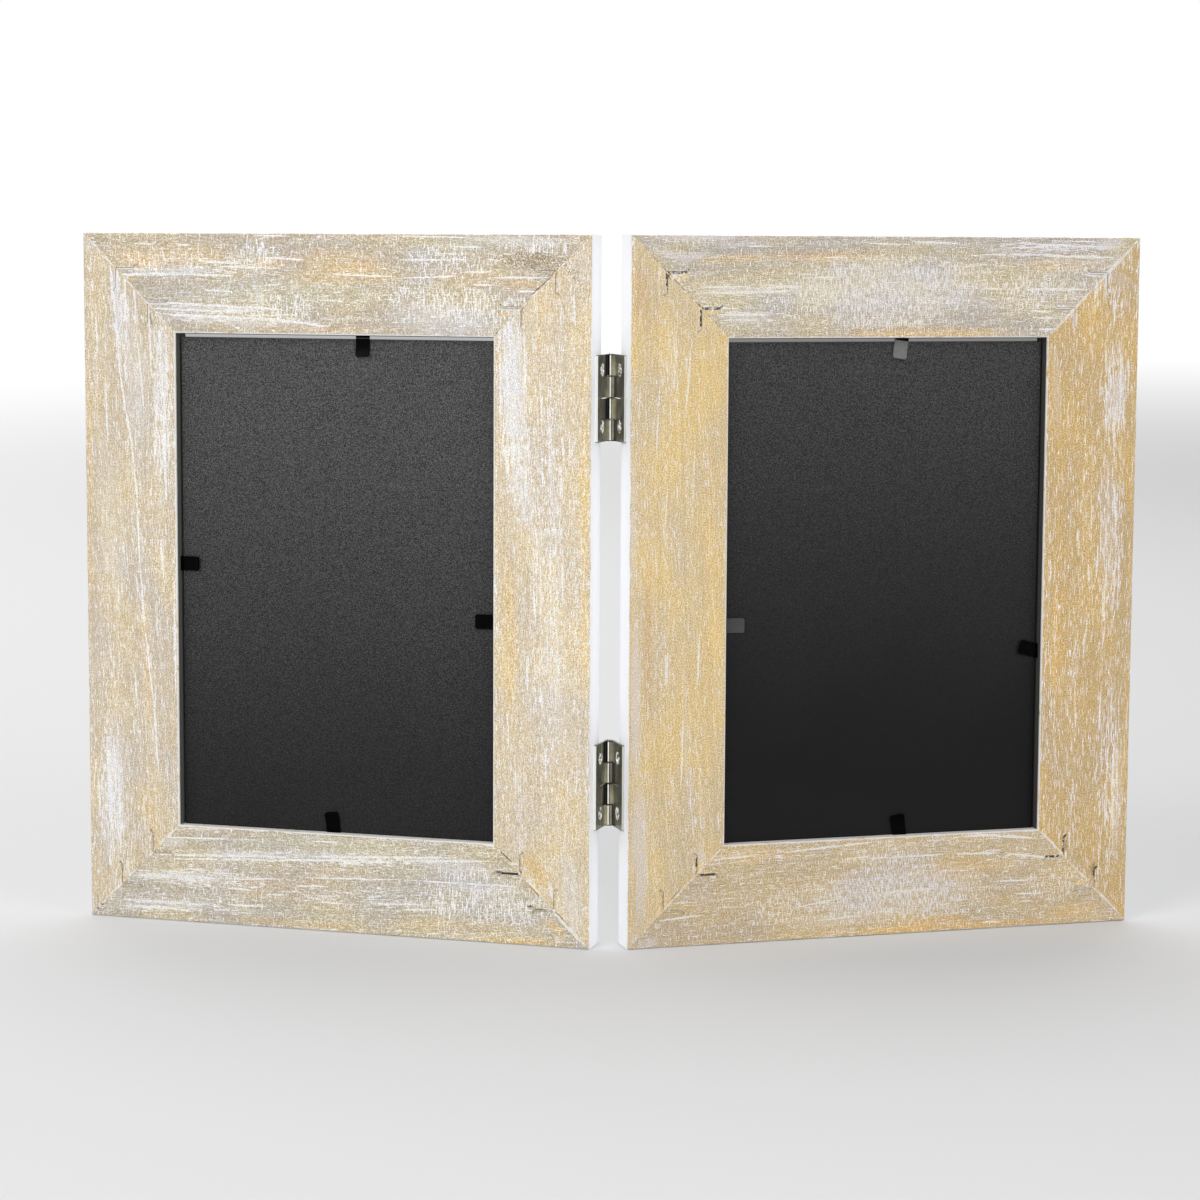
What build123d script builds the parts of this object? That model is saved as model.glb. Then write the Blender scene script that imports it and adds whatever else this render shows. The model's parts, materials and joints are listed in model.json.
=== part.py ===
from build123d import *
import os
from math import cos, degrees, radians, sin, sqrt

# Hinged double photo frame, in millimetres: two mitred wooden frames joined by two butt hinges.
# The frames stand on Z = 0 in a shallow V. Their backs face -Y, and +X is the right-hand frame.
# The origin is at the middle of the footprint, on the surface that the frames stand on.

# Wooden frames
frame_width = 164.0
frame_height = 214.0
frame_thickness = 14.0
moulding_face = 30.5  # outer side to the wall of the rebate, as seen from the back
lip_width = 5.0  # how far the front lip covers the glass
lip_thickness = 6.0
edge_radius = 5.0  # rounding of the outer front edge
sight_radius = 1.6  # rounding of the lip's front edge
arris_radius = 0.4  # softened back edges

# What the rebate holds, from the front lip to the back
glass_thickness = 2.0
insert_thickness = 0.3
board_thickness = 2.5
sheet_side_gap = 0.75
sheet_top_gap = 1.4

# V-nails across the mitres
nail_leg = 5.8
nail_flare = 0.9  # out-turned end of a leg, across and along
nail_thickness = 0.55
nail_height = 7.0
nail_sink = 0.4  # how far below the back face they are driven
nail_slot_gap = 0.1
nail_mitre_shares = (0.36, 0.71)  # of the mitre, from the outer corner

# Flexible steel tabs that hold the board
tab_width = 4.4
tab_thickness = 0.4
tab_reach = 6.5  # how far a tab reaches over the board
tab_root_length = 8.0  # in the wood
tab_bend_offset = 1.1  # the bend line, from the wall
tab_bend_gap = 0.03
tab_flat = 1.6  # straight stretch before the tab curls up
tab_curl_radius = 10.0
tab_corner_radius = 0.7
tab_float = 0.2  # clear of the board
tab_slit_gap = 0.04

# Hinges
hinge_height = 26.0
hinge_from_end = 48.5  # hinge centre to the frame's end
leaf_reach = 11.3  # pin axis to the leaf's outer edge
leaf_thickness = 0.75
leaf_corner_radius = 0.7
pin_radius = 0.7
pin_clearance = 0.05
pin_stand_out = 0.4
pin_end_radius = 0.25
knuckle_count = 4
knuckle_gap = 0.14
knuckle_clearance = 0.3  # a leaf's cut-out to the other leaf's barrel
relief_slot_width = 0.35
relief_slot_length = 5.6
pin_to_front = 1.5  # pin axis, ahead of the front faces

# Countersunk screws
screw_from_edge = 4.8  # to the leaf's outer edge
screw_spacing = 16.9
screw_head_radius = 1.95
screw_head_rise = 0.15
screw_shank_radius = 1.0
screw_length = 9.0
screw_tip = 2.2
screw_gap = 0.04
cross_width = 0.55
cross_length = 2.3
cross_depth = 0.6
cross_turns = (20, 65)  # degrees, for the lower and the upper screw of a leaf

overrun = 1.0
rest_turn = 16.5  # degrees that each frame is turned back from the straight line

# Where the sizes lead
barrel_radius = pin_radius + pin_clearance + leaf_thickness
front_depth = pin_to_front
back_depth = pin_to_front + frame_thickness
ledge_depth = front_depth + lip_thickness
insert_depth = ledge_depth + glass_thickness
board_depth = insert_depth + insert_thickness
board_back_depth = board_depth + board_thickness
rebate_width = frame_width - 2 * moulding_face
rebate_height = frame_height - 2 * moulding_face
section_width = moulding_face + lip_width
inner_edge = barrel_radius  # the hinge side of a frame, from the pin axis
outer_edge = inner_edge + frame_width
knuckle_height = hinge_height / knuckle_count
turn_sin, turn_cos = sin(radians(rest_turn)), cos(radians(rest_turn))

# The pin axis is placed so that the footprint is centred on the origin.
footprint_front = (outer_edge - edge_radius) * turn_sin - (front_depth + edge_radius) * turn_cos + edge_radius
footprint_back = (inner_edge + arris_radius) * turn_sin - (back_depth - arris_radius) * turn_cos - arris_radius
pin_y = -(footprint_front + footprint_back) / 2

# A panel plane has its origin at the foot of the pin axis, x to the right as seen from the back,
# y up the frame and z out of the back. Side is -1 for the left frame and 1 for the right one.
sides = {"left": -1, "right": 1}
panels = {
    name: Plane(
        origin=(0, pin_y, 0),
        x_dir=(turn_cos, side * turn_sin, 0),
        z_dir=(side * turn_sin, -turn_cos, 0),
    )
    for name, side in sides.items()
}

os.makedirs("parts", exist_ok=True)


def save(piece, label):
    """Label a finished piece and write it."""
    piece.part.label = label
    export_step(piece.part, f"parts/{label}.step")


def placed(panel, origin, x_dir, z_dir):
    """A plane given in a panel's own coordinates."""

    def turned(v):
        return panel.x_dir * v[0] + panel.y_dir * v[1] + panel.z_dir * v[2]

    return Plane(origin=panel.origin + turned(origin), x_dir=turned(x_dir), z_dir=turned(z_dir))


def frame_left_and_right(side):
    """The x of a frame's two outer sides in its panel, smaller first."""
    return sorted((side * inner_edge, side * outer_edge))


# Wooden frames


def members(side):
    """Each member's start corner, direction along it, direction to the opening, and length."""
    x_low, x_high = frame_left_and_right(side)
    left_stile = ((x_low, frame_height, 0), (0, -1, 0), (1, 0, 0), frame_height)
    right_stile = ((x_high, 0, 0), (0, 1, 0), (-1, 0, 0), frame_height)
    return {
        "bottom_rail": ((x_low, 0, 0), (1, 0, 0), (0, 1, 0), frame_width),
        "top_rail": ((x_high, frame_height, 0), (-1, 0, 0), (0, -1, 0), frame_width),
        "hinge_stile": left_stile if side > 0 else right_stile,
        "outer_stile": right_stile if side > 0 else left_stile,
    }


def moulding(panel, start, along, inward, length):
    """One length of rebated moulding with its two mitred ends."""
    # The section: across from the outer side, and in depth from the pin axis
    with BuildSketch(placed(panel, start, inward, along)) as section:
        with BuildLine():
            Polyline(
                (0, front_depth),
                (section_width, front_depth),
                (section_width, ledge_depth),
                (moulding_face, ledge_depth),
                (moulding_face, back_depth),
                (0, back_depth),
                close=True,
            )
        make_face()
        fillet(vertices().group_by(Axis.Y)[0].sort_by(Axis.X)[0], edge_radius)
        fillet(vertices().group_by(Axis.Y)[0].sort_by(Axis.X)[-1], sight_radius)
        fillet(vertices().group_by(Axis.Y)[-1], arris_radius)
    extrude(section.sketch, amount=length)
    with BuildSketch(placed(panel, start, along, (0, 0, 1))) as mitres:
        with BuildLine():
            Polyline(
                (0, 0),
                (length, 0),
                (length - section_width, section_width),
                (section_width, section_width),
                close=True,
            )
        make_face()
    extrude(mitres.sketch, amount=back_depth + overrun, mode=Mode.INTERSECT)


# V-nails


def nail_spots(side):
    """Vertex of each V-nail and the directions of its legs, which point away from the corner."""
    x_low, x_high = frame_left_and_right(side)
    spots = []
    for x, right in ((x_low, 1), (x_high, -1)):
        for y, up in ((0, 1), (frame_height, -1)):
            for share in nail_mitre_shares:
                inset = share * moulding_face
                spots.append((x + right * inset, y + up * inset, right, up))
    return spots


def nails(panel, side, gap, top, bottom, mode=Mode.ADD):
    """The V-nails of one frame, or with a gap the slots that they sit in."""
    tip = nail_flare + gap
    with BuildSketch(panel.offset(bottom)) as angles:
        for x, y, right, up in nail_spots(side):
            with BuildLine():
                Polyline(
                    (x + right * (nail_leg + tip), y - up * tip),
                    (x + right * nail_leg, y),
                    (x, y),
                    (x, y + up * nail_leg),
                    (x - right * tip, y + up * (nail_leg + tip)),
                )
            trace(line_width=nail_thickness + 2 * gap)
    extrude(angles.sketch, amount=top - bottom, mode=mode)


# Tabs

tab_level = board_back_depth + tab_float + tab_thickness / 2
tab_tongue_length = tab_reach - tab_bend_offset
# Place along the wall as a share of the opening, from the hinge side or from the bottom,
# and the angle in degrees that the tab leans from square to the wall.
tab_places = {
    "left": {"top": (0.413, 0), "bottom": (0.511, 6), "hinge_side": (0.44, 0), "outer": (0.535, 0)},
    "right": {"top": (0.546, -8), "bottom": (0.562, 8), "hinge_side": (0.435, 0), "outer": (0.365, -14)},
}


def tab_plane(panel, side, wall, share, lean):
    """Plane at a tab's foot on the wall: x over the board, z out of the back."""
    hinge_wall = inner_edge + moulding_face
    outer_wall = outer_edge - moulding_face
    low_wall, high_wall = moulding_face, frame_height - moulding_face
    spots = {
        "top": (side * (hinge_wall + share * rebate_width), high_wall, 0, -1),
        "bottom": (side * (hinge_wall + share * rebate_width), low_wall, 0, 1),
        "hinge_side": (side * hinge_wall, low_wall + share * rebate_height, side, 0),
        "outer": (side * outer_wall, low_wall + share * rebate_height, -side, 0),
    }
    x, y, over_x, over_y = spots[wall]
    c, s = cos(radians(lean)), sin(radians(lean))
    return placed(panel, (x, y, tab_level), (over_x * c - over_y * s, over_x * s + over_y * c, 0), (0, 0, 1))


def on_edge(plane):
    """The same place with the sketch turned on edge: x over the board, y out of the back."""
    return Plane(origin=plane.origin, x_dir=plane.x_dir, z_dir=-plane.y_dir)


def tongue(plane):
    """The bare part of a tab, which curls up from the board and is round at its bend line."""
    curl = tab_tongue_length - tab_flat
    with BuildSketch(on_edge(plane)) as profile:
        with BuildLine():
            straight = Line((tab_bend_offset, 0), (tab_bend_offset + tab_flat, 0))
            JernArc(straight @ 1, straight % 1, tab_curl_radius, degrees(curl / tab_curl_radius))
        trace(line_width=tab_thickness)
        with Locations((tab_bend_offset, 0)):
            Circle(tab_thickness / 2)
    extrude(profile.sketch, amount=tab_width / 2, both=True)
    tip = faces().sort_by(Axis(plane.origin, plane.x_dir))[-1]
    fillet(tip.edges().sort_by(SortBy.LENGTH)[:2], tab_corner_radius)


def root(plane, gap, reach, mode=Mode.ADD):
    """The flat root of a tab in the wood, or with a gap the slit that it is driven into."""
    wide = tab_width + 2 * gap
    thick = tab_thickness + 2 * gap
    length = tab_root_length + gap + reach
    with BuildSketch(plane.offset(-thick / 2)) as strip:
        with Locations(((reach - tab_root_length - gap) / 2, 0)):
            Rectangle(length, wide)
    extrude(strip.sketch, amount=thick, mode=mode)


# Hinges

hinge_feet = {
    "upper": frame_height - hinge_from_end - hinge_height / 2,
    "lower": hinge_from_end - hinge_height / 2,
}
screw_depth = leaf_reach - screw_from_edge
leaf_start = sqrt((barrel_radius + knuckle_clearance) ** 2 - (barrel_radius - leaf_thickness) ** 2)
leaf_face = barrel_radius - leaf_thickness  # the leaf's bare face, from the pin axis


def screw_planes(panel, side, foot):
    """Plane of each screw of a leaf: x up the frame, y out of the leaf's bare face."""
    middle = foot + hinge_height / 2
    return [
        placed(panel, (side * leaf_face, middle + end * screw_spacing / 2, screw_depth), (0, 1, 0), (0, 0, side))
        for end in (-1, 1)
    ]


def screw_turning(plane, gap, mode=Mode.ADD):
    """Countersunk screw turned about its plane's y, or with a gap the hole that takes it."""
    head = screw_head_radius + gap
    shank = screw_shank_radius + gap
    with BuildSketch(plane) as profile:
        with BuildLine():
            Polyline(
                (head, 0),
                (shank, shank - head),
                (shank, screw_tip - screw_length),
                (0, -screw_length - gap),
            )
            if mode is Mode.ADD:
                crown = TangentArc((0, screw_head_rise), (head, 0), tangent=(1, 0))
            else:
                crown = Polyline((0, overrun), (head, overrun), (head, 0))
            Line((0, -screw_length - gap), crown @ 0)
        make_face()
    revolve(profile.sketch, axis=Axis(plane.origin, plane.y_dir), mode=mode)


def screw(plane, turn):
    """One screw with a cross recess in its head."""
    screw_turning(plane, 0)
    top = Plane(origin=plane.origin + plane.y_dir * screw_head_rise, x_dir=plane.x_dir, z_dir=plane.y_dir)
    with BuildSketch(top) as cross:
        Rectangle(cross_length, cross_width, rotation=turn)
        Rectangle(cross_width, cross_length, rotation=turn)
    extrude(cross.sketch, amount=-cross_depth, mode=Mode.SUBTRACT)


def knuckle_rows(side):
    """Rows of a leaf's own knuckles, counted from the foot: the left leaf has the lowest one."""
    return [row for row in range(knuckle_count) if row % 2 == (0 if side < 0 else 1)]


def leaf(panel, side, foot):
    """A hinge leaf that lies on the frame's side, with its rolled knuckles round the pin."""
    base = placed(panel, (0, foot, 0), (0, 0, 1), (0, 1, 0))
    middle = side * (barrel_radius - leaf_thickness / 2)
    with BuildSketch(base) as plate:
        with Locations(((leaf_start + leaf_reach) / 2, middle)):
            Rectangle(leaf_reach - leaf_start, leaf_thickness)
    extrude(plate.sketch, amount=hinge_height)
    corners = edges().filter_by(Axis(panel.origin, panel.x_dir)).sort_by(Axis(panel.origin, panel.z_dir))
    fillet(corners[-2:], leaf_corner_radius)
    for row in knuckle_rows(side):
        below = knuckle_gap / 2 if row > 0 else 0
        above = knuckle_gap / 2 if row < knuckle_count - 1 else 0
        with BuildSketch(base.offset(row * knuckle_height + below)) as knuckle:
            Circle(barrel_radius)
            with Locations((leaf_start / 2, middle)):
                Rectangle(leaf_start, leaf_thickness)
            Circle(pin_radius + pin_clearance, mode=Mode.SUBTRACT)
        extrude(knuckle.sketch, amount=knuckle_height - below - above)
    with BuildSketch(base.offset((hinge_height - relief_slot_width) / 2)) as slot:
        with Locations((leaf_start + relief_slot_length / 2, middle)):
            Rectangle(relief_slot_length, leaf_thickness + overrun)
    extrude(slot.sketch, amount=relief_slot_width, mode=Mode.SUBTRACT)
    for plane in screw_planes(panel, side, foot):
        screw_turning(plane, screw_gap, Mode.SUBTRACT)


# Each frame with what it holds

for name, side in sides.items():
    panel = panels[name]
    tabs = {wall: tab_plane(panel, side, wall, *place) for wall, place in tab_places[name].items()}
    screws = [plane for foot in hinge_feet.values() for plane in screw_planes(panel, side, foot)]
    nail_top = back_depth - nail_sink
    nail_foot = nail_top - nail_height

    for member, layout in members(side).items():
        with BuildPart() as wood:
            moulding(panel, *layout)
            nails(panel, side, nail_slot_gap, back_depth + overrun, nail_foot, Mode.SUBTRACT)
            for plane in tabs.values():
                root(plane, tab_slit_gap, overrun, Mode.SUBTRACT)
            if member == "hinge_stile":
                for plane in screws:
                    screw_turning(plane, screw_gap, Mode.SUBTRACT)
        save(wood, f"{name}_{member}")

    with BuildPart() as corner_nails:
        nails(panel, side, 0, nail_top, nail_foot)
    save(corner_nails, f"{name}_corner_nails")

    # Glass, insert and board stand on the bottom wall of the rebate.
    middle_x = side * (inner_edge + frame_width / 2)
    sheet_height = rebate_height - sheet_top_gap
    sheets = {
        "glass": (ledge_depth, glass_thickness),
        "photo_insert": (insert_depth, insert_thickness),
        "backing_board": (board_depth, board_thickness),
    }
    for sheet, (depth, thickness) in sheets.items():
        with BuildPart() as pane:
            with BuildSketch(panel.offset(depth)):
                with Locations((middle_x, moulding_face + sheet_height / 2)):
                    Rectangle(rebate_width - 2 * sheet_side_gap, sheet_height)
            extrude(amount=thickness)
        save(pane, f"{name}_{sheet}")

    with BuildPart() as tab_roots:
        for plane in tabs.values():
            root(plane, 0, tab_bend_offset - tab_thickness / 2 - tab_bend_gap)
    save(tab_roots, f"{name}_tab_roots")

    for wall, plane in tabs.items():
        with BuildPart() as tab:
            tongue(plane)
        save(tab, f"{name}_tab_{wall}")

# Hinges

for place, foot in hinge_feet.items():
    for name, side in sides.items():
        panel = panels[name]
        with BuildPart() as hinge_leaf:
            leaf(panel, side, foot)
        save(hinge_leaf, f"{place}_hinge_{name}_leaf")

        with BuildPart() as leaf_screws:
            for plane, turn in zip(screw_planes(panel, side, foot), cross_turns):
                screw(plane, turn)
        save(leaf_screws, f"{place}_hinge_{name}_screws")

    with BuildPart() as pin:
        with BuildSketch(Plane(origin=(0, pin_y, foot))):
            Circle(pin_radius)
        extrude(amount=hinge_height + pin_stand_out)
        fillet(pin.edges().group_by(Axis.Z)[-1], pin_end_radius)
    save(pin, f"{place}_hinge_pin")
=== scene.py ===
import json
import math
import bmesh
import bpy
from mathutils import Matrix, Vector


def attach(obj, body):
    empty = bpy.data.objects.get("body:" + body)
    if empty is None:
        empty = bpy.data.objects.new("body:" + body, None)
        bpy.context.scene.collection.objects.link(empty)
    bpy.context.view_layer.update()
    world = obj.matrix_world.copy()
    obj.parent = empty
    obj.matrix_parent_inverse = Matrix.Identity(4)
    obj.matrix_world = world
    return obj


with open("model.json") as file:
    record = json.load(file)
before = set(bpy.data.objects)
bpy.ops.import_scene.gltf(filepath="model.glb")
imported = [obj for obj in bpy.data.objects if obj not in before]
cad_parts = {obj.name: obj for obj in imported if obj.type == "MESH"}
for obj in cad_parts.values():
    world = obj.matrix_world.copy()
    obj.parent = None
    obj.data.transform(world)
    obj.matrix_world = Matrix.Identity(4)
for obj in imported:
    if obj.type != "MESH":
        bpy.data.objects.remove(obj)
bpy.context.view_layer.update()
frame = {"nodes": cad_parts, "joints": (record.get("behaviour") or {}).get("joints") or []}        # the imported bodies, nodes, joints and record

nodes = frame["nodes"]
pinAxis = Vector(next(joint for joint in frame["joints"] if joint["name"] == "fold")["pos_m"])

# One frame, in millimetres: u runs across from its hinge edge, v up, w back from the pin's axis
panel = {
    "turn": 16.5,        # degrees that each frame is turned back
    "width": 164.0,
    "height": 214.0,
    "moulding": 30.5,
    "sideGap": 1.5,      # pin axis to the hinge edge
    "ledge": 7.5,        # where the glass lies
    "back": 15.5,
}
sides = {"left": -1, "right": 1}
mm = 0.001


def panelDirections(side):
    turn = math.radians(panel["turn"])
    across = Vector((sides[side] * math.cos(turn), math.sin(turn), 0))
    outward = Vector((sides[side] * math.sin(turn), -math.cos(turn), 0))
    return across, outward


def panelPoint(side, u, v, w):
    across, outward = panelDirections(side)
    level = (across * (u + panel["sideGap"]) + outward * w) * mm
    return Vector((pinAxis.x, pinAxis.y, 0)) + level + Vector((0, 0, v * mm))


def tint(red, green, blue):
    # a colour as the screen shows it, turned linear
    parts = []
    for part in (red, green, blue):
        share = part / 255
        parts.append(share / 12.92 if share < 0.04 else ((share + 0.055) / 1.055) ** 2.4)
    return (*parts, 1.0)


# A socket whose sums add Math nodes
class Wire:
    def __init__(self, bench, socket):
        self.bench = bench
        self.socket = socket

    def sum(self, operation, *others):
        return self.bench.node("ShaderNodeMath", {"operation": operation}, dict(enumerate((self, *others))))

    def __add__(self, other):
        return self.sum("ADD", other)

    def __sub__(self, other):
        return self.sum("SUBTRACT", other)

    def __mul__(self, other):
        return self.sum("MULTIPLY", other)

    def __truediv__(self, other):
        return self.sum("DIVIDE", other)

    def __pow__(self, other):
        return self.sum("POWER", other)

    def __rsub__(self, other):
        return self.bench.node("ShaderNodeMath", {"operation": "SUBTRACT"}, {0: other, 1: self})

    __radd__ = __add__
    __rmul__ = __mul__

    def size(self):
        return self.sum("ABSOLUTE")

    def least(self, other):
        return self.sum("MINIMUM", other)

    def most(self, other):
        return self.sum("MAXIMUM", other)

    def step(self, low, high, bottom=0.0, top=1.0):
        # from bottom to top, smoothly, while the value goes from low to high
        settings = {"interpolation_type": "SMOOTHSTEP"}
        return self.bench.node("ShaderNodeMapRange", settings, {0: self, 1: low, 2: high, 3: bottom, 4: top})

    def ramp(self, low, high, bottom=0.0, top=1.0):
        # the same in a straight line
        values = {0: self, 1: low, 2: high, 3: bottom, 4: top}
        return self.bench.node("ShaderNodeMapRange", {"clamp": True}, values)

    def vector(self, operation, other, out=0):
        return self.bench.node("ShaderNodeVectorMath", {"operation": operation}, {0: self, 1: other}, out)

    def parts(self):
        split = self.bench.node("ShaderNodeSeparateXYZ", None, {0: self})
        return [Wire(self.bench, socket) for socket in split.socket.node.outputs]

    def largest(self):
        x, y, z = self.parts()
        return x.most(y).most(z)

    def shift(self, scale, add):
        # a vector times one vector, plus another
        settings = {"operation": "MULTIPLY_ADD"}
        return self.bench.node("ShaderNodeVectorMath", settings, {0: self, 1: scale, 2: add})


# A node tree being wired
class Bench:
    def __init__(self, tree):
        self.tree = tree

    def node(self, kind, settings=None, values=None, out=0):
        made = self.tree.nodes.new(kind)
        for name, setting in (settings or {}).items():
            if name == "stops":
                for spot, (place, colour) in enumerate(setting):
                    stop = made.color_ramp.elements[spot] if spot < 2 else made.color_ramp.elements.new(place)
                    stop.position = place
                    stop.color = colour
            else:
                setattr(made, name, setting)
        for name, value in (values or {}).items():
            if isinstance(value, Wire):
                self.tree.links.new(value.socket, made.inputs[name])
            else:
                made.inputs[name].default_value = value
        return Wire(self, made.outputs[out]) if made.outputs else None

    def join(self, x, y, z=0.0):
        return self.node("ShaderNodeCombineXYZ", None, {0: x, 1: y, 2: z})

    def spread(self, value):
        return self.join(value, value, value)

    def blend(self, share, first, second, how="MIX"):
        settings = {"data_type": "RGBA", "blend_type": how}
        return self.node("ShaderNodeMix", settings, {0: share, 6: first, 7: second}, 2)

    def shade(self, colour, by):
        # a colour made lighter or darker by a factor
        base = colour if isinstance(colour, Wire) else colour[:3]
        return self.node("ShaderNodeVectorMath", {"operation": "SCALE"}, {0: base, "Scale": by})

    def noise(self, place, stretch, seed, detail=2.0, rough=0.5, out=0):
        moved = place.shift(stretch, (seed * 7.31, seed * 3.17, seed * 5.93))
        values = {"Vector": moved, "Scale": 1.0, "Detail": detail, "Roughness": rough}
        return self.node("ShaderNodeTexNoise", {"noise_dimensions": "3D"}, values, out)

    def marks(self, place, spots, edge=0.45):
        # 1 inside long thin spots that run from one point to another, 0 outside, three spots at a time
        u, v = place
        total = None
        for first in range(0, len(spots), 3):
            ways = ([], [])
            strengths = []
            for spot in (spots[first:first + 3] * 3)[:3]:
                u0, v0, u1, v1, half = spot[:5]
                middle = Vector(((u0 + u1) / 2, (v0 + v1) / 2))
                turn = math.atan2(v1 - v0, u1 - u0)
                length = math.hypot(u1 - u0, v1 - v0) / 2 + half
                for rows, angle, reach in ((ways[0], turn, length), (ways[1], turn + math.pi / 2, half)):
                    way = Vector((math.cos(angle), math.sin(angle))) / reach
                    rows.append((way.x, way.y, -way.dot(middle)))
                strengths.append(spot[5] if len(spot) > 5 else 1.0)
            parts = [u.shift(across, v.shift(up, add)) for across, up, add in (zip(*rows) for rows in ways)]
            reach = parts[1].shift(parts[1], parts[0].shift(parts[0], (0, 0, 0)))
            values = {6: reach, 7: (1, 1, 1), 8: (edge * edge,) * 3, 9: (0, 0, 0), 10: strengths}
            settings = {"data_type": "FLOAT_VECTOR", "interpolation_type": "SMOOTHSTEP"}
            found = self.node("ShaderNodeMapRange", settings, values, 1)
            total = found if total is None else found.vector("MAXIMUM", total)
        return total.largest()


def newMaterial(name):
    material = bpy.data.materials.new(name)
    material.use_nodes = True
    material.node_tree.nodes.clear()
    bench = Bench(material.node_tree)
    bench.material = material
    return bench


def finishMaterial(bench, colour, roughness, height=None, depth=0.0001, glow=None, **fixed):
    values = {"Base Color": colour, "Roughness": roughness}
    if glow is not None:
        values.update({"Emission Color": glow, "Emission Strength": 1.0})
    for name, value in fixed.items():
        values[name.replace("_", " ")] = value
    if height is not None:
        bump = {"Strength": 1.0, "Distance": depth, "Height": height}
        values["Normal"] = bench.node("ShaderNodeBump", None, bump)
    shader = bench.node("ShaderNodeBsdfPrincipled", None, values)
    bench.node("ShaderNodeOutputMaterial", None, {"Surface": shader})
    return bench.material


def objectPlace(bench):
    return bench.node("ShaderNodeTexCoord", None, None, "Object")


def panelPlace(bench, side):
    # object coordinates turned square to one frame, in millimetres: u, v and w
    theta = -sides[side] * math.radians(panel["turn"])
    pinY = pinAxis.y / mm
    values = {
        "Vector": objectPlace(bench),
        "Location": (pinY * math.sin(theta), -pinY * math.cos(theta), 0),
        "Rotation": (0, 0, theta),
        "Scale": (1 / mm, 1 / mm, 1 / mm),
    }
    turned = bench.node("ShaderNodeMapping", {"vector_type": "POINT"}, values)
    split = bench.node("ShaderNodeSeparateXYZ", None, {0: turned})
    x, y, z = (Wire(bench, socket) for socket in split.socket.node.outputs)
    return x * sides[side] - panel["sideGap"], z, y * -1


# Limed wood. Every spot is (u, v) to (u, v), half width and strength, in millimetres on the frame's back
limeColours = {
    # the right frame's chalk and film are darker than the left's as painted shade
    "left": {"chalk": tint(247, 246, 245), "film": tint(226, 225, 228)},
    "right": {"chalk": tint(234, 230, 228), "film": tint(214, 209, 211)},
    "paint": tint(249, 250, 252),
    "torn": tint(228, 201, 150),
    "soot": tint(156, 138, 112),
    "slit": tint(78, 66, 50),
}

woodLooks = {}
woodLooks["left_top_rail"] = {
    "seed": 1.0, "lean": 0.0, "streaks": 0.14, "hatches": 0.2,
    "tones": ((176, 158, 129), (197, 184, 161), (222, 217, 209)),
    "tinted": [
        ((224, 194, 148), (109, 204.5, 96, 205.5, 2.5, 0.8), (79, 203, 66, 203.5, 3, 0.7),
         (25, 199, 16, 199, 2.6, 0.7), (152, 208, 138, 204, 3, 0.4), (60, 185.4, 112, 185.4, 1.3, 0.5),
         (96, 201, 55, 202, 4, 0.4)),
        ((198, 194, 180), (138, 196, 60, 196, 5.5, 0.7), (60, 209, 22, 212, 3.5, 0.6)),
        ((226, 196, 150), (158, 206, 112, 208, 5, 0.55), (96, 207, 66, 206, 4.5, 0.5),
         (50, 203, 22, 200, 4, 0.4)),
    ],
    "soot": [(29, 206.3, 9, 206, 3.6, 0.85), (14, 203, 6, 201, 2, 0.5)],
    "film": [
        (152, 202.3, 118, 202.3, 1.7, 0.7), (145, 191.6, 95, 190.6, 1.6, 0.6),
        (142, 188.7, 84, 186.3, 2, 0.6), (60, 190, 33, 187, 7, 0.5), (108, 211, 105.5, 189, 1.3, 0.5),
        (45, 212.5, 4, 212, 2, 0.6),
    ],
    "streaked": [(150, 204, 96, 203, 5, 0.6), (142, 190, 90, 188, 4, 0.7)],
    "hatched": [
        (62, 195, 18, 190, 9, 0.9), (58, 206, 32, 206, 6, 0.8), (112, 207, 100, 207, 6, 0.7),
        (106, 192, 90, 192, 7, 0.7), (28, 211, 4, 211, 3.5, 0.8), (150, 206, 118, 203, 6, 0.5),
    ],
    "lines": [
        (152, 201.3, 130, 201.5, 0.5), (131, 201.5, 113, 201, 0.4), (83, 201.8, 61, 201.2, 0.3),
        (60, 200.8, 41, 201.5, 0.3), (33, 201.2, 12, 201.3, 0.35), (40, 202.8, 31, 202.8, 0.3),
        (60, 206.2, 38, 206.5, 0.3), (105, 206.8, 90, 206, 0.3), (142, 193, 96, 191, 0.45),
        (142, 191, 108, 190, 0.4), (140, 189.3, 100, 188, 0.5), (100, 188, 82, 186, 0.5),
        (124, 196.7, 114, 196.3, 0.35), (135, 210.6, 128, 210.3, 0.35), (147, 210.7, 140, 210.6, 0.3),
        (125, 205.5, 112, 204.8, 0.35), (119, 204, 98, 203.5, 0.4), (63, 213.3, 38, 213, 0.3),
        (108, 213.4, 96, 213.2, 0.3), (43, 210.3, 32, 210.2, 0.3), (24, 197.2, 15, 197.2, 0.35),
        (38, 199, 30, 199, 0.3), (86, 194, 78, 193.8, 0.25),
    ],
}
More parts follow.
